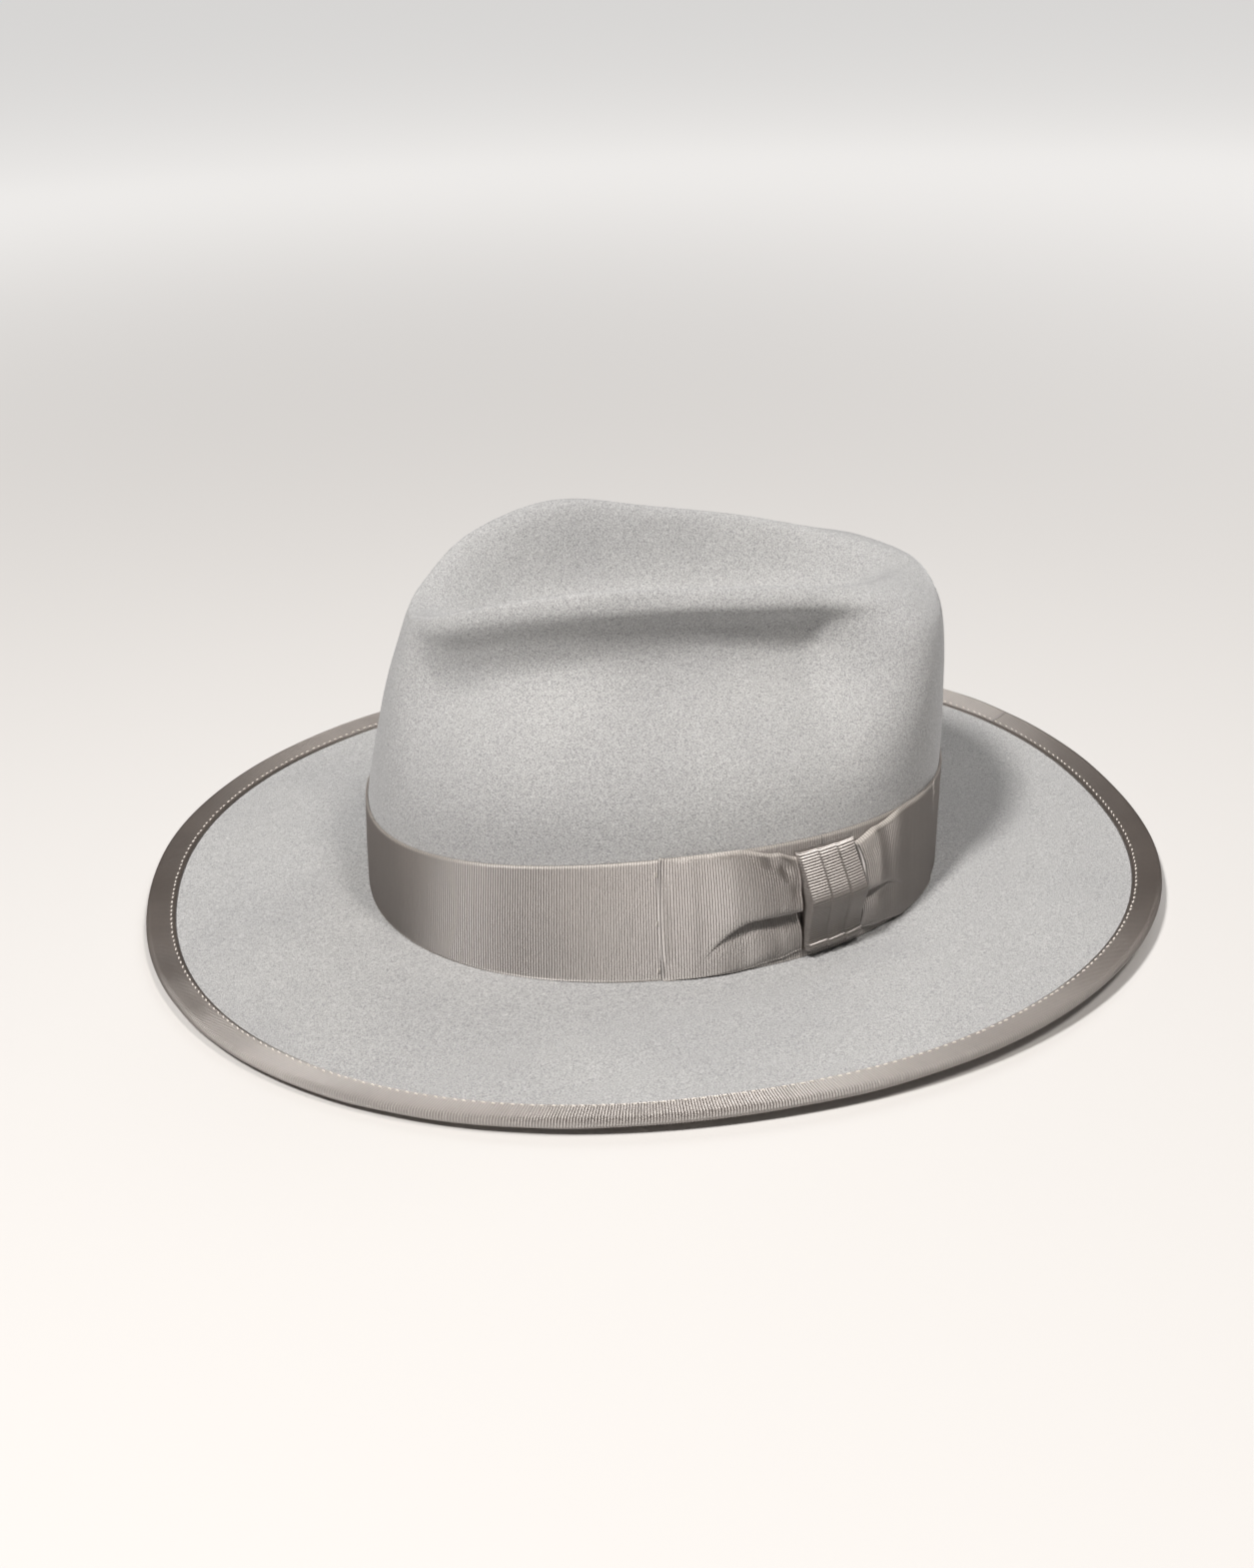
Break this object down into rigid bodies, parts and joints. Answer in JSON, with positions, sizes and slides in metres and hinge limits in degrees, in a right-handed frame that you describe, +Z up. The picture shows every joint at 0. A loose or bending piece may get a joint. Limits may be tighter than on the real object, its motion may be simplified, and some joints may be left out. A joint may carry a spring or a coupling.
{
  "type": "fedora hat",
  "caption": "Grey felt fedora with a pinched teardrop crown, ribbon-bound brim, wide grosgrain hatband, flat side bow, leather sweatband and satin lining.",
  "frame": {"origin": "middle of the bounding box, on the level surface that the hat stands on", "axes": "+Z up; -Y towards the front of the hat, so +Y runs along its length to the back; +X the wearer's left, where the bow is"},
  "size_m": [0.3162, 0.3592, 0.1224],
  "materials": {
    "felt": "fine short-napped pale grey fur felt",
    "grosgrain": "taupe ribbed grosgrain ribbon with a slight sheen",
    "thread": "pale sewing thread",
    "leather": "smooth tan sweatband leather",
    "reed": "flexible plastic reed",
    "tape": "plain woven cotton tape",
    "satin": "soft champagne satin lining"
  },
  "bodies": {
    "root": {"felt_body": "felt", "brim_binding": "grosgrain", "binding_thread": "thread", "hatband": "grosgrain", "bow_front_wing": "grosgrain", "bow_knot": "grosgrain", "bow_back_wing": "grosgrain", "tack_stitches": "thread", "sweatband": "leather", "sweatband_seam": "thread", "rear_bow": "grosgrain", "sweatband_reed": "reed", "reed_tape": "tape", "sweatband_thread": "thread", "lining_side": "satin", "lining_tip": "satin"}
  },
  "joints": []
}
